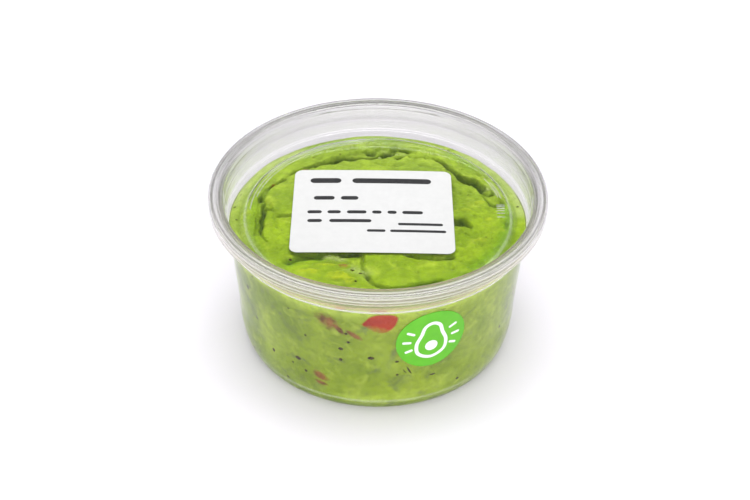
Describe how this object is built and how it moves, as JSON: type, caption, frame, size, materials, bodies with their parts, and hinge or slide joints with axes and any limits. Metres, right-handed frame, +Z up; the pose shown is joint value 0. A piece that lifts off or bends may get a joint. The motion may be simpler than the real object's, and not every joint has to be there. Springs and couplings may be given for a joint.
{
  "type": "tub of guacamole",
  "caption": "Round clear lidded deli tub filled with guacamole, with a blank-barred paper label on the recessed lid, a round green sticker and a tomato chunk at the wall.",
  "frame": {"origin": "centre of the underside of the tub, on the plane of its foot ring", "axes": "+Z up along the tub's axis, -Y towards the front, where the tomato chunk lies at the wall and the sticker sits to its right, +X to the right seen from the front"},
  "size_m": [0.1194, 0.1194, 0.061],
  "materials": {
    "clear_plastic": "clear thin thermoformed plastic with a gloss surface and fine moulded rings",
    "guacamole": "moist mashed avocado, yellow green, with darker furrows, pale lumps and dark specks",
    "tomato": "wet red tomato flesh",
    "label_paper": "smooth white label paper with plain dark grey bars",
    "sticker_film": "bright green sticker paper with plain white strokes"
  },
  "bodies": {
    "root": {"tub": "clear_plastic", "lid": "clear_plastic", "guacamole": "guacamole", "tomato_piece": "tomato", "top_label": "label_paper", "side_sticker": "sticker_film"}
  },
  "joints": []
}
